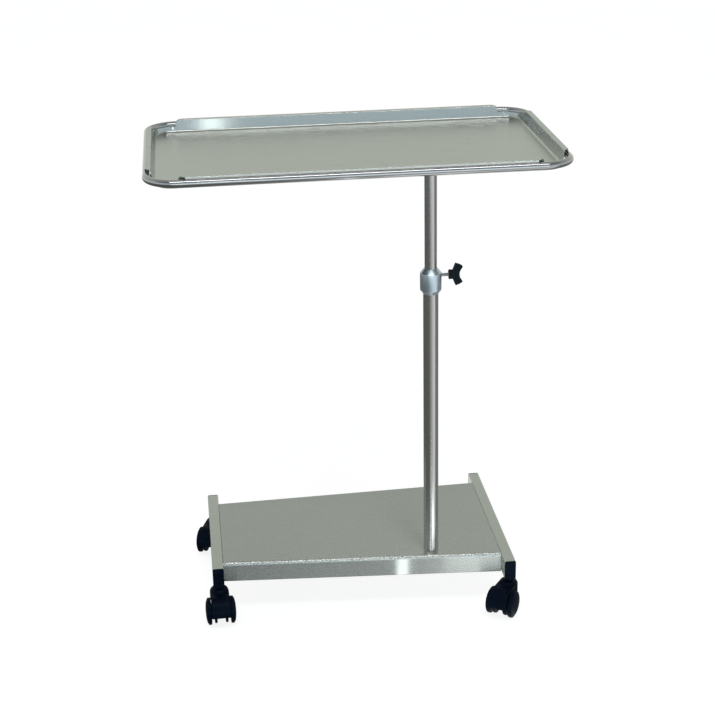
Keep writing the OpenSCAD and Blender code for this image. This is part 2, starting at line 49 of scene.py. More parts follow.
# Tray and rod frame
TRAY_SHEET = 1.0 * MM
TRAY_RIM_OUT = 17.0 * MM
TRAY_CORNER = 26 * MM
TRAY_BEND = 4 * MM
TRAY_LEAN = 15
TRAY_RIM_BEND = 2 * MM
TRAY_LIP_BEND = 1.2 * MM
TRAY_RIM_DROP = 3.8 * MM
CORNER_WALL = 9 * MM
ROD_CORNER = 48 * MM
ROD_STOP = 60 * MM

# Column
POST_WALL = 1.5 * MM
STUD_PITCH = 1 * MM
KNOB_THICK = 7 * MM

# Base
SHELF_SHEET = 1.2 * MM
SKIRT_BEND = 6 * MM
SKIRT_HEM = 9 * MM
BACK_BEND = 4 * MM
BACK_FLANGE = 15 * MM
SIDE_FLANGE = 22 * MM
TUBE_CORNER = 2.5 * MM
TUBE_WALL = 1.5 * MM
CAP_THICK = 2.5 * MM
SKIRT_FOOT = 59.5 * MM
LEFT_FRONT = 21 * MM
RIGHT_FRONT = 32.5 * MM
LEFT_BACK = 35 * MM
RIGHT_BACK = 37 * MM

# Casters
HOOD_WIDTH = 32 * MM
WEB_THICK = 13.6 * MM
FENDER_OVER = 3.4 * MM
FENDER_THICK = 2.2 * MM
FENDER_LOW = 22 * MM
BOSS_RADIUS = 16 * MM
BOSS_OVER = 8 * MM
NECK_RADIUS = 8 * MM
NECK_HIGH = 6.3 * MM
STEM_HOLE = 5.06 * MM
WHEEL_BORE = 3.05 * MM
WHEEL_OUT = 25.75 * MM
WEB_GAP = 0.4 * MM
RIM_GAP = 0.25 * MM
DOME_OVER = 5.75 * MM

# Finishes
LINE_DEPTH = 0.004 * MM
PEBBLE_DEPTH = 0.04 * MM
WAVE_DEPTH = 0.3 * MM
MOTTLE_DEPTH = 0.1 * MM


def middle(node):
    low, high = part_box(node)
    return (low + high) / 2


def extent(node):
    low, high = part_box(node)
    return high - low


# Shapes

def arc(centre, radius, start, end, steps=8):
    """Points of an arc in a plane, from one angle to another in degrees."""
    angles = [math.radians(start + (end - start) * i / steps) for i in range(steps + 1)]
    return [(centre[0] + radius * math.cos(a), centre[1] + radius * math.sin(a)) for a in angles]


def wire(bm, points, closed=False):
    """New vertices along the points, joined by edges."""
    verts = [bm.verts.new(p) for p in points]
    ends = verts[1:] + verts[:1] if closed else verts[1:]
    return [bm.edges.new(pair) for pair in zip(verts, ends)]


def verts_of(edges):
    """The edges' vertices, each once, in the order of the edges."""
    return list(dict.fromkeys(v for e in edges for v in e.verts))


def drawn(bm, edges, step):
    """Extrudes edges by a vector and gives the edges at the far end."""
    made = bmesh.ops.extrude_edge_only(bm, edges=edges)["geom"]
    fresh = {g for g in made if isinstance(g, bmesh.types.BMVert)}
    bmesh.ops.translate(bm, verts=list(fresh), vec=step)
    return [e for e in bm.edges if e.verts[0] in fresh and e.verts[1] in fresh]


def swung(bm, edges, centre, axis, angle, steps):
    """Spins edges about an axis and gives the edges at the far end."""
    last = bmesh.ops.spin(bm, geom=verts_of(edges) + edges, cent=centre, axis=axis,
                          dvec=(0, 0, 0), angle=math.radians(angle), steps=steps,
                          use_merge=False)["geom_last"]
    return [g for g in last if isinstance(g, bmesh.types.BMEdge)]


def outward(bm):
    """Merges doubles and turns the faces of closed shells outwards."""
    bmesh.ops.remove_doubles(bm, verts=bm.verts, dist=1e-7)
    bmesh.ops.recalc_face_normals(bm, faces=bm.faces)
    return bm


def rounded(bm, edges, width, segments):
    """Rounds the given edges by the width."""
    bmesh.ops.bevel(bm, geom=edges, offset=width, offset_type="OFFSET", segments=segments,
                    profile=0.5, affect="EDGES", clamp_overlap=True, material=-1)
    return bm


def eased(bm, width, limit=35, segments=2):
    """Rounds every edge that is sharper than the limit."""
    sharp = [e for e in bm.edges if e.is_manifold and e.calc_face_angle(0) > math.radians(limit)]
    return rounded(bm, sharp, width, segments)


def turned(profile, steps=64, closed=True):
    """A turned piece about Z: the profile holds radius and height."""
    bm = bmesh.new()
    edges = wire(bm, [(r, 0, z) for r, z in profile], closed)
    bmesh.ops.spin(bm, geom=verts_of(edges) + edges, cent=(0, 0, 0), axis=UP, dvec=(0, 0, 0),
                   angle=math.tau, steps=steps, use_merge=True)
    return outward(bm)


def prism(outline, depth):
    """A flat outline in X and Z, extruded along Y and centred there."""
    bm = bmesh.new()
    face = bm.faces.new([bm.verts.new((x, -depth / 2, z)) for x, z in outline])
    made = bmesh.ops.extrude_face_region(bm, geom=[face])["geom"]
    bmesh.ops.translate(bm, verts=[g for g in made if isinstance(g, bmesh.types.BMVert)],
                        vec=(0, depth, 0))
    return outward(bm)


def placed(bm, matrix):
    bmesh.ops.transform(bm, matrix=matrix, verts=bm.verts)
    return bm


def joined(*parts):
    """One shape out of several shells."""
    whole = bmesh.new()
    for part in parts:
        mesh = bpy.data.meshes.new("part")
        part.to_mesh(mesh)
        part.free()
        whole.from_mesh(mesh)
        bpy.data.meshes.remove(mesh)
    return whole


def rounded_outline(w, h, r, steps=5):
    """Points of a rectangle with round corners, about the origin."""
    points = []
    for sx, sz, start in ((1, 1, 0), (-1, 1, 90), (-1, -1, 180), (1, -1, 270)):
        centre = (sx * (w / 2 - r), sz * (h / 2 - r))
        points += arc(centre, r, start, start + 90, steps)
    return points


def around(bm, lead, long, short, centre, inset, steps):
    """Carries the lead edges once round a rectangle with round corners, clockwise from the
    left end of its back side. Each side has a stop at inset from its ends."""
    runs = ((long, (1, 0, 0), (1, 1)), (short, (0, -1, 0), (1, -1)),
            (long, (-1, 0, 0), (-1, -1)), (short, (0, 1, 0), (-1, 1)))
    for length, way, corner in runs:
        for step in (inset, length - 2 * inset, inset):
            lead = drawn(bm, lead, Vector(way) * step)
        pivot = (centre.x + corner[0] * long / 2, centre.y + corner[1] * short / 2, centre.z)
        lead = swung(bm, lead, pivot, -UP, 90, steps)
    bmesh.ops.remove_doubles(bm, verts=bm.verts, dist=1e-6)


def in_scene(name, bm):
    """Makes an object of a shape and links it to the scene."""
    mesh = bpy.data.meshes.new(name)
    bm.to_mesh(mesh)
    bm.free()
    obj = bpy.data.objects.new(name, mesh)
    bpy.context.scene.collection.objects.link(obj)
    return obj


def piece(name, bm, body, slot, material, *nodes, ridge=None):
    """Puts a shape in the scene as one smooth-shaded piece that rides on a body."""
    for f in bm.faces:
        f.smooth = True
    if ridge:
        for e in bm.edges:
            e.smooth = not (e.is_manifold and e.calc_face_angle(0) > math.radians(ridge))
    obj = in_scene(name, bm)
    obj.data.materials.append(material)
    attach(obj, body)
    if nodes:
        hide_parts(*nodes)
    return obj


def weigh_normals(obj):
    mod = obj.modifiers.new("Even shading", "WEIGHTED_NORMAL")
    mod.keep_sharp = True
    mod.weight = 100


def give_thickness(obj, wall, edge):
    """Sheet metal: thickness away from the shown side, then broken edges."""
    sheet = obj.modifiers.new("Sheet", "SOLIDIFY")
    sheet.thickness = wall
    sheet.offset = -1
    sheet.use_even_offset = True
    sheet.use_quality_normals = True
    burr = obj.modifiers.new("Broken edge", "BEVEL")
    burr.width = edge
    burr.segments = 2
    burr.limit_method = "ANGLE"
    burr.angle_limit = math.radians(50)
    weigh_normals(obj)


# Materials

def blank(name, colour, metallic, roughness):
    mat = bpy.data.materials.new(name)
    mat.use_nodes = True
    shader = mat.node_tree.nodes["Principled BSDF"]
    shader.inputs["Base Color"].default_value = (*colour, 1)
    shader.inputs["Metallic"].default_value = metallic
    shader.inputs["Roughness"].default_value = roughness
    return mat, mat.node_tree, shader


def bare_material(name):
    """A material with an empty node tree, for the floor and the cards that paint dark reflections.
    """
    mat = bpy.data.materials.new(name)
    mat.use_nodes = True
    mat.node_tree.nodes.clear()
    return mat, mat.node_tree


def worked(tree, operation, first, second):
    """The result of a mathematical operation on two values."""
    node = tree.nodes.new("ShaderNodeMath")
    node.operation = operation
    tree.links.new(first, node.inputs[0])
    tree.links.new(second, node.inputs[1])
    return node.outputs["Value"]


def grain(tree, scale, detail, stretch=(1, 1, 1), turn=(0, 0, 0), rough=0.55):
    """A noise on the piece's own coordinates, drawn out along its grain."""
    coords = tree.nodes.new("ShaderNodeTexCoord")
    mapping = tree.nodes.new("ShaderNodeMapping")
    mapping.inputs["Rotation"].default_value = turn
    mapping.inputs["Scale"].default_value = stretch
    noise = tree.nodes.new("ShaderNodeTexNoise")
    noise.inputs["Scale"].default_value = scale
    noise.inputs["Detail"].default_value = detail
    noise.inputs["Roughness"].default_value = rough
    tree.links.new(coords.outputs["Object"], mapping.inputs["Vector"])
    tree.links.new(mapping.outputs["Vector"], noise.inputs["Vector"])
    return noise.outputs["Fac"]


def ranged(tree, value, low, high, start=0.35, end=0.65):
    node = tree.nodes.new("ShaderNodeMapRange")
    node.inputs["From Min"].default_value = start
    node.inputs["From Max"].default_value = end
    node.inputs["To Min"].default_value = low
    node.inputs["To Max"].default_value = high
    tree.links.new(value, node.inputs["Value"])
    return node.outputs["Result"]


def tinted(tree, value, first, second, start=0.35, end=0.65):
    node = tree.nodes.new("ShaderNodeValToRGB")
    node.color_ramp.elements[0].position = start
    node.color_ramp.elements[0].color = (*first, 1)
    node.color_ramp.elements[1].position = end
    node.color_ramp.elements[1].color = (*second, 1)
    tree.links.new(value, node.inputs["Fac"])
    return node.outputs["Color"]


def bumped(tree, shader, layers):
    """Bumps one on another: each layer is a height, a strength and a depth."""
    normal = None
    for height, strength, depth in layers:
        node = tree.nodes.new("ShaderNodeBump")
        node.inputs["Strength"].default_value = strength
        node.inputs["Distance"].default_value = depth
        tree.links.new(height, node.inputs["Height"])
        if normal:
            tree.links.new(normal, node.inputs["Normal"])
        normal = node.outputs["Normal"]
    tree.links.new(normal, shader.inputs["Normal"])


def across_grain(tree, shader, grain_way):
    """Draws the reflections out across the grain, as fine polishing lines do."""
    shader.inputs["Anisotropic"].default_value = 1
    way = tree.nodes.new("ShaderNodeVectorTransform")
    way.vector_type = "VECTOR"
    way.convert_from = "OBJECT"
    way.convert_to = "WORLD"
    way.inputs["Vector"].default_value = grain_way
    surface = tree.nodes.new("ShaderNodeNewGeometry")
    cross = tree.nodes.new("ShaderNodeVectorMath")
    cross.operation = "CROSS_PRODUCT"
    tree.links.new(surface.outputs["Normal"], cross.inputs[0])
    tree.links.new(way.outputs["Vector"], cross.inputs[1])
    tree.links.new(cross.outputs["Vector"], shader.inputs["Tangent"])


def steel(name, colour, roughness, stretch, lines, grain_way=None):
    """Stainless steel: a fine grain one way, a satin that varies, and faint handling marks."""
    mat, tree, shader = blank(name, colour, 1, roughness)
    fine = grain(tree, 1600, 2, stretch)
    broad = grain(tree, 5, 3)
    marks = grain(tree, 60, 5, (1, 1, 1), (0.3, 0.2, 0.5), 0.7)
    dim = tuple(c * 0.965 for c in colour)
    tree.links.new(tinted(tree, broad, dim, colour), shader.inputs["Base Color"])
    satin = ranged(tree, fine, roughness - 0.02, roughness + 0.02)
    rough = worked(tree, "ADD", satin, ranged(tree, marks, 0, 0.04, 0.55, 0.8))
    tree.links.new(rough, shader.inputs["Roughness"])
    bumped(tree, shader, [(fine, lines, LINE_DEPTH)])
    if grain_way:
        across_grain(tree, shader, grain_way)
    return mat


def plastic(name, colour, roughness, pebble=0.15):
    """Black moulded plastic with a fine pebble, rubbed paler here and there."""
    mat, tree, shader = blank(name, colour, 0, roughness)
    shader.inputs["Specular IOR Level"].default_value = 0.08
    shader.inputs["Specular Tint"].default_value = (0.45, 0.8, 1, 1)
    fine = grain(tree, 1500, 2)
    broad = grain(tree, 45, 5, rough=0.65)
    worn = tuple(min(1, c * 1.8 + 0.002) for c in colour)
    tree.links.new(tinted(tree, broad, colour, worn, 0.5, 0.78), shader.inputs["Base Color"])
    satin = ranged(tree, broad, roughness - 0.06, roughness + 0.1)
    tree.links.new(satin, shader.inputs["Roughness"])
    bumped(tree, shader, [(fine, pebble, PEBBLE_DEPTH), (broad, 0.06, WAVE_DEPTH)])
    return mat


def zinc_plate():
    mat, tree, shader = blank("Zinc plate", (0.56, 0.57, 0.58), 1, 0.3)
    spangle = grain(tree, 120, 3)
    tree.links.new(tinted(tree, spangle, (0.48, 0.5, 0.53), (0.62, 0.62, 0.6)),
                   shader.inputs["Base Color"])
    tree.links.new(ranged(tree, spangle, 0.24, 0.4), shader.inputs["Roughness"])
    bumped(tree, shader, [(spangle, 0.1, MOTTLE_DEPTH)])
    return mat


def nylon_block():
    mat, tree, shader = blank("Nylon", (0.72, 0.72, 0.66), 0, 0.45)
    cloud = grain(tree, 200, 3)
    tree.links.new(tinted(tree, cloud, (0.68, 0.68, 0.61), (0.76, 0.76, 0.7)),
                   shader.inputs["Base Color"])
    tree.links.new(ranged(tree, cloud, 0.38, 0.52), shader.inputs["Roughness"])
    bumped(tree, shader, [(cloud, 0.1, MOTTLE_DEPTH)])
    return mat


SHEET = (0.50, 0.52, 0.495)
satin_tray = steel("Satin steel of the tray", SHEET, 0.17, (0.01, 1, 1), 0.06, (1, 0, 0))
satin_x = steel("Satin steel along X", SHEET, 0.27, (0.01, 1, 1), 0.02, (1, 0, 0))
satin_y = steel("Satin steel along Y", SHEET, 0.27, (1, 0.01, 1), 0.02, (0, 1, 0))
satin_z = steel("Satin steel tube", (0.51, 0.515, 0.50), 0.2, (1, 1, 0.3), 0.06)
polished = steel("Polished rod", (0.42, 0.425, 0.43), 0.13, (0.6, 0.6, 0.6), 0.02)
chrome = steel("Plated collar", (0.56, 0.66, 0.73), 0.3, (0.7, 0.7, 0.7), 0.06)
zinc = zinc_plate()
nylon = nylon_block()
black_cap = plastic("Black plastic caps", (0.002, 0.0042, 0.0105), 0.45)
black_hood = plastic("Black plastic hoods", (0.0018, 0.0035, 0.0105), 0.42)
black_wheel = plastic("Black plastic wheels", (0.0018, 0.0035, 0.0095), 0.45)
black_knob = plastic("Black plastic knob", (0.010, 0.014, 0.017), 0.45, 0.3)


# Tray

def tray_sections():
    """The tray's wall from the edge of its flat floor: the part that runs all round, then the
    steps of the part that stands only along the sides."""
    depth = extent("tray").z - TRAY_SHEET
    top = 90 - TRAY_LEAN
    bend = arc((0, TRAY_BEND), TRAY_BEND, 270, 270 + top, 8)
    foot = Vector(bend[-1])
    out = math.tan(math.radians(TRAY_LEAN))
    low = bend + [(foot.x + (CORNER_WALL - foot.y) * out, CORNER_WALL)]
    r = TRAY_RIM_BEND
    rise = depth - r * (1 - math.cos(math.radians(top)))
    shoulder = foot.x + (rise - foot.y) * out
    rim_x = shoulder + r * math.sin(math.radians(top))
    tall = [low[-1]] + arc((rim_x, depth - r), r, 90 + top, 90, 8)
    r = TRAY_LIP_BEND
    tall += arc((TRAY_RIM_OUT - r, depth - r), r, 90, 0, 8)
    tall.append((TRAY_RIM_OUT, depth - TRAY_RIM_DROP))
    return low, tall


def tray_sheet():
    low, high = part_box("tray")
    centre = Vector(((low.x + high.x) / 2, (low.y + high.y) / 2, low.z + TRAY_SHEET))
    half_w = (high.x - low.x) / 2 - TRAY_RIM_OUT
    half_d = (high.y - low.y) / 2 - TRAY_RIM_OUT
    long, short = 2 * (half_w - TRAY_CORNER), 2 * (half_d - TRAY_CORNER)
    foot, tall = tray_sections()
    inset = foot[-1][0]
    bm = bmesh.new()
    lead = wire(bm, [(centre.x - long / 2, centre.y + half_d + x, centre.z + z) for x, z in foot])
    around(bm, lead, long, short, centre, inset, 12)
    seams = [e for e in bm.edges if e.is_boundary and e.calc_length() > 4 * inset
             and min(v.co.z for v in e.verts) > centre.z + CORNER_WALL / 2]
    for edge in seams:
        mid = (edge.verts[0].co + edge.verts[1].co) / 2 - centre
        away = Vector((0, math.copysign(1, mid.y), 0))
        if abs(edge.verts[0].co.x - edge.verts[1].co.x) < MM:
            away = Vector((math.copysign(1, mid.x), 0, 0))
        lead = [edge]
        for (x0, z0), (x1, z1) in zip(tall, tall[1:]):
            lead = drawn(bm, lead, away * (x1 - x0) + UP * (z1 - z0))
            along = (lead[0].verts[1].co - lead[0].verts[0].co).normalized()
            for vert, way in zip(lead[0].verts, (along, -along)):
                vert.co += way * (x1 - x0)
    rim = [e for e in bm.edges if e.is_boundary and max(v.co.z for v in e.verts) < centre.z + 1e-6]
    bmesh.ops.contextual_create(bm, geom=rim)
    bmesh.ops.recalc_face_normals(bm, faces=bm.faces)
    floor = max(bm.faces, key=lambda f: f.calc_area())
    if floor.normal.z < 0:
        bmesh.ops.reverse_faces(bm, faces=bm.faces)
    obj = piece("tray_sheet", bm, "tray", "stainless", satin_tray, "tray")
    give_thickness(obj, TRAY_SHEET, 0.3 * MM)


# Rod frame and the bars under the tray

def rod_loop():
    low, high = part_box("rod_frame")
    centre = (low + high) / 2
    r = (high.z - low.z) / 2
    long = high.x - low.x - 2 * r - 2 * ROD_CORNER
    short = high.y - low.y - 2 * r - 2 * ROD_CORNER
    bm = bmesh.new()
    start = Vector((centre.x - long / 2, high.y - r, centre.z))
    bmesh.ops.create_circle(bm, segments=32, radius=r, cap_ends=False,
                            matrix=Matrix.Translation(start) @ Matrix.Rotation(math.pi / 2, 4, "Y"))
    around(bm, bm.edges[:], long, short, centre, ROD_STOP, 24)
    bmesh.ops.recalc_face_normals(bm, faces=bm.faces)
    piece("rod_loop", bm, "upper", "bright_metal", polished, "rod_frame")


def from_node(node):
    """A copy of a CAD node with its doubles merged, its flat faces whole and its edges eased."""
    bm = bmesh.new()
    bm.from_mesh(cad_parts[node].data)
    bmesh.ops.remove_doubles(bm, verts=bm.verts, dist=1e-6)
    bmesh.ops.dissolve_limit(bm, angle_limit=math.radians(1), verts=bm.verts, edges=bm.edges,
                             use_dissolve_boundaries=False)
    bmesh.ops.recalc_face_normals(bm, faces=bm.faces)
    return eased(bm, 0.4 * MM, 30)


def flat_bars():
    bars = (("cross_bar", "cross_bar_flat", satin_y), ("left_arm", "left_arm_flat", satin_x),
            ("right_arm", "right_arm_flat", satin_x), ("top_plate", "head_plate", satin_x))
    for node, name, material in bars:
        weigh_normals(piece(name, from_node(node), "upper", "stainless", material, node))


# Column

def tube(name, node, body, wall, material):
    low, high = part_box(node)
    centre = (low + high) / 2
    r = (high.x - low.x) / 2
    bm = turned([(r - wall, low.z), (r, low.z), (r, high.z), (r - wall, high.z)], 72)
    eased(bm, 0.4 * MM, 60)
    placed(bm, Matrix.Translation((centre.x, centre.y, 0)))
    weigh_normals(piece(name, bm, body, "stainless", material, node))


def clamp_collar():
    low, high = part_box("collar")
    post = extent("outer_post").x / 2
    inner = extent("inner_post").x / 2
    r = (high.x - low.x) / 2
    h = high.z - low.z
    cone, chamfer, seat = 8 * MM, 7 * MM, 22 * MM
    profile = [(post + 0.02 * MM, 0), (post + 0.9 * MM, 0), (post + 1.3 * MM, 0.5 * MM)]
    profile += arc((r - 1.5 * MM, chamfer), 1.5 * MM, -50, 0, 4)
    profile += arc((r - 0.8 * MM, h - cone), 0.8 * MM, 0, 60, 3)
    profile += [(inner + 1.2 * MM, h - 0.3 * MM), (inner + 0.7 * MM, h), (inner + 0.05 * MM, h),
                (inner + 0.05 * MM, seat), (post + 0.02 * MM, seat)]
    bm = placed(turned(profile, 96), Matrix.Translation((*middle("collar").xy, low.z)))
    piece("clamp_collar", bm, "base", "bright_metal", chrome, "collar", ridge=38)


def sideways(node):
    """Turns a piece made about Z so that it lies along X on the node's own line."""
    low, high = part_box(node)
    mid = (low + high) / 2
    return Matrix.Translation((low.x, mid.y, mid.z)) @ Matrix.Rotation(math.pi / 2, 4, "Y")


def threaded_stud():
    size = extent("clamp_stud")
    r, core = size.z / 2, size.z / 2 - 0.6 * MM
    turns = int(size.x / STUD_PITCH) - 2
    bm = bmesh.new()
    p = STUD_PITCH
    edges = wire(bm, [(core, 0, p), (core, 0, 1.12 * p), (r, 0, 1.44 * p), (r, 0, 1.56 * p),
                      (core, 0, 1.88 * p), (core, 0, 2 * p)])
    bmesh.ops.spin(bm, geom=verts_of(edges) + edges, cent=(0, 0, 0), axis=UP,
                   dvec=(0, 0, p / 20), angle=math.tau * turns, steps=20 * turns, use_merge=False)
    outward(bm)
    bar = turned([(0, 0), (core, 0), (core, size.x), (0, size.x)], 20, closed=False)
    bm = placed(joined(bm, eased(bar, 0.3 * MM, 60)), sideways("clamp_stud"))
    piece("threaded_stud", bm, "clamp_knob", "zinc", zinc, "clamp_stud", ridge=30)


def wing_knob():
    low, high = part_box("clamp_knob")
    mid = (low + high) / 2
    hub = (high.y - low.y) / 2
    length = 10 * MM
    profile = [(0, 0), (hub - 0.8 * MM, 0), (hub, 0.8 * MM), (hub - 0.5 * MM, length - 0.6 * MM),
               (hub - 1.2 * MM, length), (0, length)]
    core = placed(turned(profile, 48, closed=False), Matrix.Rotation(math.pi / 2, 4, "Y"))
    grooves = [e for e in core.edges if abs(e.verts[0].co.x - e.verts[1].co.x) > length / 2]
    grooves.sort(key=lambda e: math.atan2(e.verts[0].co.y, e.verts[0].co.z))
    for i, edge in enumerate(grooves):
        if i % 3 == 0:
            for v in edge.verts:
                v.co.y *= 0.94
                v.co.z *= 0.94
    shells = [core]
    wing_outline = [(3, 0), (6.5, 7.5), (10.4, 17.35), (11.2, 18.25), (12.2, 18.15),
                    (22.2, 13.35), (22.5, 12.35), (18, 5), (17.4, 0)]
    rib_first, rib_pitch = Vector((15.884, 0, 11.646)) * MM, Vector((0.576, 0, 1.344)) * MM
    for way in (1, -1):
        wing = prism([(x * MM, way * z * MM) for x, z in wing_outline], KNOB_THICK)
        shells.append(eased(wing, 1.1 * MM, 30, 3))
        for step in range(4):
            rib = bmesh.new()
            bmesh.ops.create_icosphere(rib, subdivisions=2, radius=1)
            centre = rib_first + rib_pitch * step
            centre.z *= way
            lean = Matrix.Rotation(math.radians(24 * way), 4, "Y")
            placed(rib, Matrix.Translation(centre) @ lean
                   @ Matrix.Diagonal((4.6 * MM, KNOB_THICK / 2 + 0.35 * MM, 0.5 * MM, 1)))
            shells.append(rib)
    bm = placed(joined(*shells), Matrix.Translation((low.x, mid.y, mid.z)))
    obj = piece("wing_knob", bm, "clamp_knob", "black_plastic", black_knob, "clamp_knob", ridge=50)
    weigh_normals(obj)


# Base

def skirt_line(x):
    """Where the skirt's face lies at x, and how it slopes."""
    low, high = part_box("shelf")
    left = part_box("left_tube")[0].y
    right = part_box("right_tube")[0].y
    y0 = left - CAP_THICK + LEFT_FRONT
    y1 = right - CAP_THICK + RIGHT_FRONT
    slope = (y1 - y0) / (high.x - low.x)
    return y0 + slope * (x - low.x), slope


def back_line(x):
    low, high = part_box("shelf")
    y0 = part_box("left_tube")[1].y + CAP_THICK - LEFT_BACK
    y1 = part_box("right_tube")[1].y + CAP_THICK - RIGHT_BACK
    slope = (y1 - y0) / (high.x - low.x)
    return y0 + slope * (x - low.x), slope


def folded(bm, edge, section, slope, way):
    """Folds a sheet on from an edge: the section holds how far in from the fold's face each
    point lies, and its height."""
    stretch = math.sqrt(1 + slope * slope) * way
    lead = [edge]
    for (d0, z0), (d1, z1) in zip(section, section[1:]):
        lead = drawn(bm, lead, Vector((0, (d1 - d0) * stretch, z1 - z0)))


def folded_shelf():
    low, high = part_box("shelf")
    x0, x1, top = low.x, high.x, high.z
    (f0, slope), (f1, _) = skirt_line(x0), skirt_line(x1)
    (b0, back), (b1, _) = back_line(x0), back_line(x1)
    front_in = SKIRT_BEND * math.sqrt(1 + slope * slope)
    back_in = BACK_BEND * math.sqrt(1 + back * back)
    side_from, side_to = 51 * MM, 6 * MM
    bm = bmesh.new()
    corners = [bm.verts.new(p) for p in (
        (x0, f0 + front_in, top), (x1, f1 + front_in, top),
        (x1, f1 + side_from, top), (x1, b1 - side_to, top), (x1, b1 - back_in, top),
        (x0, b0 - back_in, top), (x0, b0 - side_to, top), (x0, f0 + side_from, top))]
    bm.faces.new(corners)
    front = bm.edges.get(corners[:2])
    rear = bm.edges.get(corners[4:6])
    sides = [bm.edges.get(corners[2:4]), bm.edges.get(corners[6:8])]
    deep = top - SKIRT_FOOT
    section = arc((SKIRT_BEND, -SKIRT_BEND), SKIRT_BEND, 90, 180, 12)
    section += arc((2 * MM, 2 * MM - deep), 2 * MM, 180, 270, 6) + [(SKIRT_HEM, -deep)]
    folded(bm, front, section, slope, 1)
    section = arc((BACK_BEND, -BACK_BEND), BACK_BEND, 90, 180, 8) + [(0, -BACK_FLANGE)]
    folded(bm, rear, section, back, -1)
    for edge in sides:
        drawn(bm, [edge], -UP * SIDE_FLANGE)
    bmesh.ops.recalc_face_normals(bm, faces=bm.faces)
    if max(bm.faces, key=lambda f: f.calc_area()).normal.z < 0:
        bmesh.ops.reverse_faces(bm, faces=bm.faces)
    obj = piece("folded_shelf", bm, "base", "stainless", satin_x, "shelf")
    give_thickness(obj, SHELF_SHEET, 0.3 * MM)


def side_tubes():
    for node in ("left_tube", "right_tube"):
        low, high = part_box(node)
        mid = (low + high) / 2
        w, h = high.x - low.x, high.z - low.z
        bm = bmesh.new()
        outline = rounded_outline(w, h, TUBE_CORNER, 6)
        lead = wire(bm, [(mid.x + x, low.y, mid.z + z) for x, z in outline], closed=True)
        drawn(bm, lead, Vector((0, high.y - low.y, 0)))
        outward(bm)
        out = max(bm.faces, key=lambda f: f.calc_center_median().z)
        if out.normal.z < 0:
            bmesh.ops.reverse_faces(bm, faces=bm.faces)
        obj = piece(node + "_section", bm, "base", "stainless", satin_y, node)
        give_thickness(obj, TUBE_WALL, 0.2 * MM)


def end_caps():
    for corner in CORNERS:
        low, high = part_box(corner + "_cap")
        mid = (low + high) / 2
        way = -1 if corner.startswith("front") else 1
        face_y = low.y if way < 0 else high.y
        w, h = high.x - low.x, high.z - low.z
        plate = prism(rounded_outline(w, h, TUBE_CORNER, 5), CAP_THICK)
        rim = [e for e in plate.edges if all(v.co.y * way > 0 for v in e.verts)]
        rounded(plate, rim, 1 * MM, 4)
        plug_w, plug_h, plug = w - 2 * TUBE_WALL - 0.2 * MM, h - 2 * TUBE_WALL - 0.2 * MM, 3 * MM
        tongue = prism(rounded_outline(plug_w, plug_h, 1 * MM, 3), plug)
        placed(tongue, Matrix.Translation((0, -way * (CAP_THICK + plug) / 2, 0)))
        at = Matrix.Translation((mid.x, face_y - way * CAP_THICK / 2, mid.z))
        obj = piece(corner + "_end_cap", placed(joined(plate, tongue), at), "base",
                    "black_plastic", black_cap, corner + "_cap", ridge=60)
        weigh_normals(obj)


# Casters

def caster_place(corner):
    """The caster's own frame, on the floor under its stem with +X the way it trails, then how
    far it trails and how high its axle lies, which is also its wheels' radius."""
    stem, axle = middle(corner + "_stem"), middle(corner + "_axle")
    way = axle - stem
    turn = Matrix.Rotation(math.atan2(way.y, way.x), 4, "Z")
    return Matrix.Translation((stem.x, stem.y, 0)) @ turn, way.xy.length, axle.z


def carved(bm, cutter):
    """The first shape less the second."""
    objects = [in_scene("carving", shape) for shape in (bm, cutter)]
    cut = objects[0].modifiers.new("Cut", "BOOLEAN")
    cut.object = objects[1]
    cut.operation = "DIFFERENCE"
    result = bmesh.new()
    result.from_object(objects[0], bpy.context.evaluated_depsgraph_get())
    for obj in objects:
        mesh = obj.data
        bpy.data.objects.remove(obj)
        bpy.data.meshes.remove(mesh)
    return outward(result)


def wheel_room(trail, r):
    """The space that the two wheels turn in, either side of the web."""
    rooms = []
    for side in (1, -1):
        room = turned([(0, 0), (r, 0), (r, HOOD_WIDTH), (0, HOOD_WIDTH)], 96, closed=False)
        turn = Matrix.Rotation(math.radians(-90 * side), 4, "X")
        rooms.append(placed(room, Matrix.Translation((trail, side * WEB_THICK / 2, 0)) @ turn))
    return joined(*rooms)


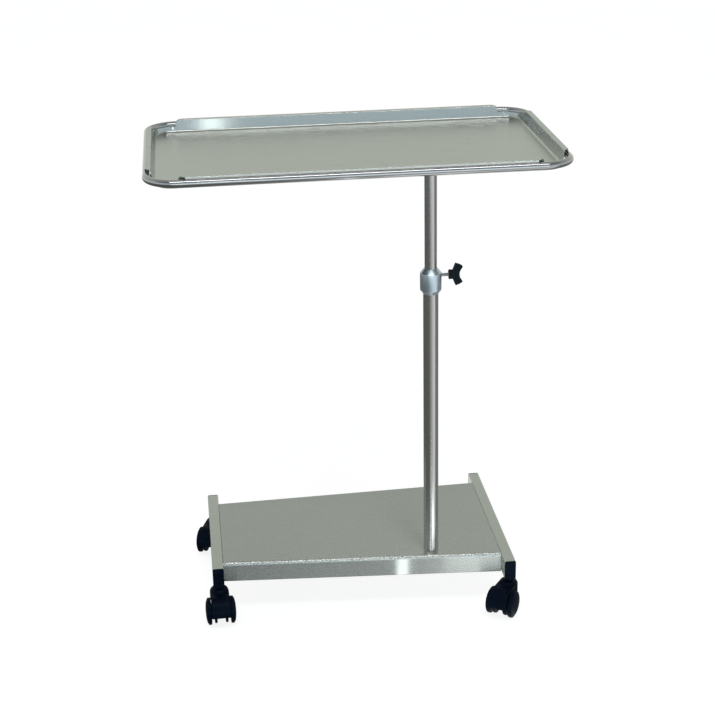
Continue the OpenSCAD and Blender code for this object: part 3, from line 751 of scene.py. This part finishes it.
def hood_shape(trail, r, neck_top, seat):
    """Web between the wheels, fender over them and a round boss and neck with the stem seat."""
    top = neck_top - NECK_HIGH
    low_z = r + BOSS_OVER
    outer = r + FENDER_OVER
    inner = outer - FENDER_THICK
    lip = Vector((2 * MM, top - 5 * MM))
    axle = Vector((trail, r))
    reach = lip - axle
    over = math.degrees(math.atan2(reach.y, reach.x) - math.acos(outer / reach.length))
    low = math.degrees(math.asin((FENDER_LOW - r) / outer))
    band = arc(axle, outer, low, over, 28) + [tuple(lip), (0, top - 5.5 * MM), (0, top - 9 * MM)]
    band += arc(axle, inner, 112, low, 28)
    fender = prism(band, HOOD_WIDTH)
    sides = [e for e in fender.edges if e.calc_face_angle(0) > 0.6
             and all((Vector((v.co.x, v.co.z)) - axle).length > outer - 0.1 * MM for v in e.verts)
             and abs(e.verts[0].co.y - e.verts[1].co.y) < MM]
    rounded(fender, sides, 0.9 * MM, 4)
    eased(fender, 0.3 * MM, 50, 1)
    web = arc(axle, inner + 0.5 * MM, low + 8, over, 20)
    web += [(0, top - 6 * MM), (-8 * MM, top - 8 * MM), (-8 * MM, low_z)]
    web = eased(prism(web + arc(axle, 8 * MM, 160, 300, 10), WEB_THICK), 0.6 * MM)
    boss = [(0, low_z)] + arc((BOSS_RADIUS - 2 * MM, low_z + 2 * MM), 2 * MM, -90, 0, 4)
    boss += arc((BOSS_RADIUS - 8 * MM, top - 8 * MM), 8 * MM, 0, 88, 10)
    boss += [(NECK_RADIUS, top), (NECK_RADIUS, neck_top), (STEM_HOLE, neck_top), (STEM_HOLE, seat),
             (0, seat)]
    room = placed(wheel_room(trail, inner), Matrix.Translation((0, 0, r)))
    boss = carved(turned(boss, 48, closed=False), room)
    return joined(fender, web, eased(boss, 0.4 * MM, 50))


def wheel_shape(r, side):
    """A narrow inner rim, a groove and a broad outer rim under a domed cover."""
    inside = WEB_THICK / 2 + WEB_GAP
    rim = HOOD_WIDTH / 2 + RIM_GAP
    dome = rim + DOME_OVER
    profile = [(WHEEL_BORE, inside), (r - 3.4 * MM, inside)]
    profile += arc((r - 3 * MM, inside + 1 * MM), 1 * MM, -90, 0, 4)
    profile += arc((r - 3 * MM, inside + 3 * MM), 1 * MM, 0, 90, 4)
    profile += [(r - 10 * MM, inside + 4.6 * MM), (r - 10 * MM, rim - 0.6 * MM)]
    profile += arc((r - 1.3 * MM, rim + 1.3 * MM), 1.3 * MM, -90, 0, 5)
    profile += arc((r - 1.2 * MM, dome - 1.2 * MM), 1.2 * MM, 0, 60, 4)
    profile += [(r - 1.9 * MM, dome - 0.5 * MM), (r - 2.1 * MM, dome + 0.1 * MM)]
    dome_r = r - 2.1 * MM
    for k in range(1, 13):
        a = math.radians(90 * k / 12)
        profile.append((dome_r * math.cos(a), dome + (WHEEL_OUT - dome) * math.sin(a)))
    end = WHEEL_OUT - 3.4 * MM
    bm = turned(profile + [(0, end), (WHEEL_BORE, end)], 72)
    return placed(bm, Matrix.Rotation(math.radians(-90 * side), 4, "X"))


def casters():
    for corner in CORNERS:
        place, trail, r = caster_place(corner)
        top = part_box(corner + "_hood")[1].z
        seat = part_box(corner + "_stem")[0].z - 1 * MM
        bm = placed(hood_shape(trail, r, top, seat), place)
        obj = piece(corner + "_fork_hood", bm, corner + "_caster", "black_plastic", black_hood,
                    corner + "_hood", ridge=60)
        weigh_normals(obj)
        hub = place @ Matrix.Translation((trail, 0, r))
        for side, hand in ((1, "left"), (-1, "right")):
            node = f"{corner}_{hand}_wheel"
            piece(node + "_turned", placed(wheel_shape(r, side), hub), node, "wheel_plastic",
                  black_wheel, node, ridge=50)


def dress_nodes():
    """Finishes for the CAD pieces that show as they are: zinc, but for these."""
    finishes = {"rail": satin_x, "bush": nylon, "pad": nylon}
    for name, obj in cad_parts.items():
        if obj.hide_render:
            continue
        finish = next((m for word, m in finishes.items() if word in name), zinc)
        obj.data.materials.clear()
        obj.data.materials.append(finish)


tray_sheet()
rod_loop()
flat_bars()
tube("inner_tube", "inner_post", "upper", POST_WALL, satin_z)
tube("outer_tube", "outer_post", "base", POST_WALL, satin_z)
clamp_collar()
threaded_stud()
wing_knob()
folded_shelf()
side_tubes()
end_caps()
casters()
dress_nodes()


# Floor, light and camera

def white_floor():
    """A pale floor that reads as white to the eye, to metal and to glass, and keeps shadows."""
    bm = bmesh.new()
    bmesh.ops.create_grid(bm, x_segments=1, y_segments=1, size=30)
    floor = in_scene("floor", bm)
    mat, tree = bare_material("White paper")
    floor.data.materials.append(mat)
    new, link = tree.nodes.new, tree.links.new
    out = new("ShaderNodeOutputMaterial")
    path = new("ShaderNodeLightPath").outputs
    seen = worked(tree, "MAXIMUM", path["Is Camera Ray"], path["Is Glossy Ray"])
    shown = worked(tree, "MAXIMUM", seen, path["Is Transmission Ray"])
    plain = new("ShaderNodeBsdfDiffuse")
    plain.inputs["Color"].default_value = (0.75, 0.75, 0.75, 1)
    shade = new("ShaderNodeBsdfDiffuse")
    shade.inputs["Color"].default_value = (0.3, 0.3, 0.3, 1)
    glow = new("ShaderNodeEmission")
    glow.inputs["Color"].default_value = (1, 1, 1, 1)
    glow.inputs["Strength"].default_value = 0.86
    both = new("ShaderNodeAddShader")
    link(shade.outputs[0], both.inputs[0])
    link(glow.outputs[0], both.inputs[1])
    mix = new("ShaderNodeMixShader")
    link(shown, mix.inputs["Fac"])
    link(plain.outputs[0], mix.inputs[1])
    link(both.outputs[0], mix.inputs[2])
    link(mix.outputs[0], out.inputs["Surface"])


def shaded(tree, height, stops):
    """A colour that changes with height: each stop is a height, then a colour."""
    ramp = tree.nodes.new("ShaderNodeValToRGB")
    points = ramp.color_ramp.elements
    while len(points) < len(stops):
        points.new(0.5)
    for point, (at, colour) in zip(points, stops):
        point.position = at
        point.color = (*colour, 1)
    tree.links.new(height, ramp.inputs["Fac"])
    return ramp.outputs["Color"]


def studio_world():
    """Soft surroundings: grey-green behind the stand, and in front of it pale blue low down and
    dark high up."""
    world = bpy.data.worlds.new("studio")
    bpy.context.scene.world = world
    world.use_nodes = True
    tree = world.node_tree
    new, link = tree.nodes.new, tree.links.new
    background = tree.nodes["Background"]
    coords = new("ShaderNodeTexCoord")
    split = new("ShaderNodeSeparateXYZ")
    link(coords.outputs["Generated"], split.inputs[0])
    behind = shaded(tree, split.outputs["Z"], [
        (0.0, (0.80, 0.84, 0.76)), (0.19, (0.74, 0.77, 0.70)), (0.3, (0.72, 0.75, 0.68)),
        (0.50, (0.60, 0.63, 0.57)), (0.85, (0.45, 0.46, 0.45))])
    ahead = shaded(tree, split.outputs["Z"], [
        (0.0, (0.66, 0.80, 0.90)), (0.34, (0.66, 0.81, 0.92)),
        (0.46, (0.46, 0.50, 0.51)), (0.62, (0.19, 0.20, 0.20)), (0.85, (0.20, 0.21, 0.21))])
    side = new("ShaderNodeMapRange")
    side.interpolation_type = "SMOOTHSTEP"
    side.inputs["From Min"].default_value = 0.2
    side.inputs["From Max"].default_value = -0.4
    link(split.outputs["Y"], side.inputs["Value"])
    mix = new("ShaderNodeMix")
    mix.data_type = "RGBA"
    link(side.outputs["Result"], mix.inputs["Factor"])
    # A colour mix has its colours at inputs 6 and 7 and its result at output 2
    link(behind, mix.inputs[6])
    link(ahead, mix.inputs[7])
    link(mix.outputs[2], background.inputs["Color"])
    background.inputs["Strength"].default_value = 1


def painted_reflection_card(name, centre, radius, start, end, colour, fade, near=1):
    """A dark card flat on the floor that only reflections show. It glows with its dark colour,
    lights nothing and casts no shadow, so it is a painted reflection in the steel. It is a fan
    about the centre, fades out over the last degrees, and is thinner near the centre."""
    bm = bmesh.new()
    a, b = math.radians(start), math.radians(end)
    hub = bm.verts.new((0, 0, 0))
    rim = bm.verts.new((radius * math.cos(a), radius * math.sin(a), 0))
    edge = bm.edges.new((hub, rim))
    bmesh.ops.spin(bm, geom=[hub, rim, edge], cent=(0, 0, 0), axis=UP, dvec=(0, 0, 0), angle=b - a,
                   steps=24, use_merge=False)
    bmesh.ops.remove_doubles(bm, verts=bm.verts, dist=1e-6)
    placed(bm, Matrix.Translation((*centre, 0.6 * MM)))
    card = in_scene(name, bm)
    mat, tree = bare_material(name)
    card.data.materials.append(mat)
    new, link = tree.nodes.new, tree.links.new
    out = new("ShaderNodeOutputMaterial")
    coords = new("ShaderNodeTexCoord")
    turn = new("ShaderNodeMapping")
    turn.vector_type = "TEXTURE"
    turn.inputs["Location"].default_value = (*centre, 0)
    turn.inputs["Rotation"].default_value = (0, 0, math.radians((start + end) / 2))
    split = new("ShaderNodeSeparateXYZ")
    link(coords.outputs["Object"], turn.inputs["Vector"])
    link(turn.outputs["Vector"], split.inputs[0])
    angle = worked(tree, "ARCTAN2", split.outputs["Y"], split.outputs["X"])
    half = math.radians(abs(end - start) / 2)
    solid = new("ShaderNodeMapRange")
    solid.interpolation_type = "SMOOTHSTEP"
    solid.inputs["From Min"].default_value = half
    solid.inputs["From Max"].default_value = half - math.radians(fade)
    link(angle, solid.inputs["Value"])
    reach = new("ShaderNodeVectorMath")
    reach.operation = "LENGTH"
    link(turn.outputs["Vector"], reach.inputs[0])
    thin_within, full_from = 0.12, 0.5
    close = new("ShaderNodeMapRange")
    close.interpolation_type = "SMOOTHSTEP"
    close.inputs["From Min"].default_value = thin_within
    close.inputs["From Max"].default_value = full_from
    close.inputs["To Min"].default_value = near
    link(reach.outputs["Value"], close.inputs["Value"])
    cover = worked(tree, "MULTIPLY", solid.outputs["Result"], close.outputs["Result"])
    clear = new("ShaderNodeBsdfTransparent")
    # Painted reflection: the card glows with this dark colour, and only mirrors see it
    dark = new("ShaderNodeEmission")
    dark.inputs["Color"].default_value = (*colour, 1)
    mix = new("ShaderNodeMixShader")
    link(cover, mix.inputs["Fac"])
    link(clear.outputs[0], mix.inputs[1])
    link(dark.outputs[0], mix.inputs[2])
    link(mix.outputs[0], out.inputs["Surface"])
    card.visible_camera = False
    card.visible_diffuse = False
    card.visible_shadow = False
    card.visible_transmission = False


def cards():
    """Dark cards that paint dark reflections into the steel: to the left of the column and behind
    it to the right.
    """
    post = middle("outer_post").xy
    # Painted reflections: dark bands on the column, the skirt and the rods
    painted_reflection_card("left_painted_reflection", post, 4.6, -250, -35, (0.155, 0.16, 0.15), 95, 0.75)
    painted_reflection_card("right_painted_reflection", post, 4.6, 75, -30, (0.27, 0.29, 0.28), 35)


def softbox(name, at, aim, width, height, radiance, colour=(1, 1, 1)):
    """A flat lamp that faces its aim and has the given brightness when looked at."""
    data = bpy.data.lights.new(name, "AREA")
    data.shape = "RECTANGLE"
    data.size, data.size_y = width, height
    data.energy = radiance * math.pi * width * height
    data.color = colour
    lamp = bpy.data.objects.new(name, data)
    lamp.location = at
    lamp.rotation_mode = "QUATERNION"
    lamp.rotation_quaternion = (Vector(aim) - Vector(at)).to_track_quat("-Z", "Y")
    bpy.context.scene.collection.objects.link(lamp)
    lamp.visible_camera = False
    return lamp


def glint(name, x, y, width, depth, radiance):
    """A lamp that lies on the floor, shines up, and lights only what mirrors it."""
    lamp = softbox(name, (x, y, MM), (x, y, 1), width, depth, radiance, (0.93, 1, 1))
    lamp.visible_diffuse = False


def lights():
    """A lamp overhead, a strip and a low fill in front, and two glints on the floor."""
    softbox("overhead", (0, -1.35, 3.2), (0, 0, 0.4), 2.6, 0.42, 8.0)
    glint("column glint", 0.225, -0.4, 0.18, 0.17, 1.8)
    glint("skirt glint", 0.06, -0.45, 0.02, 0.6, 2.4)
    softbox("strip", (-0.166, -2.75, 1.62), (-0.166, 0, 0.8), 0.06, 0.5, 5.4, (0.93, 1, 1))
    softbox("low fill", (0, -3.0, 0.55), (0, 0, 0.1), 3.0, 0.9, 1.2, (0.86, 0.97, 1))


def photo_camera():
    """The camera where it stood for the photograph, found from the object's edges."""
    data = bpy.data.cameras.new("photo")
    data.sensor_width = 36
    data.lens = 78.575
    camera = bpy.data.objects.new("photo", data)
    right = Vector((0.99305, -0.11623, -0.01846))
    up = Vector((0.06039, 0.36869, 0.92759))
    back = -Vector((0.10100, 0.92226, -0.37315))
    turn = Matrix((right, up, back)).transposed()
    camera.rotation_mode = "QUATERNION"
    camera.rotation_quaternion = turn.to_quaternion()
    camera.location = (-0.26305, -2.4403, 1.4020)
    bpy.context.scene.collection.objects.link(camera)
    bpy.context.scene.camera = camera


white_floor()
studio_world()
cards()
lights()
photo_camera()
bpy.context.scene.view_settings.view_transform = "Standard"
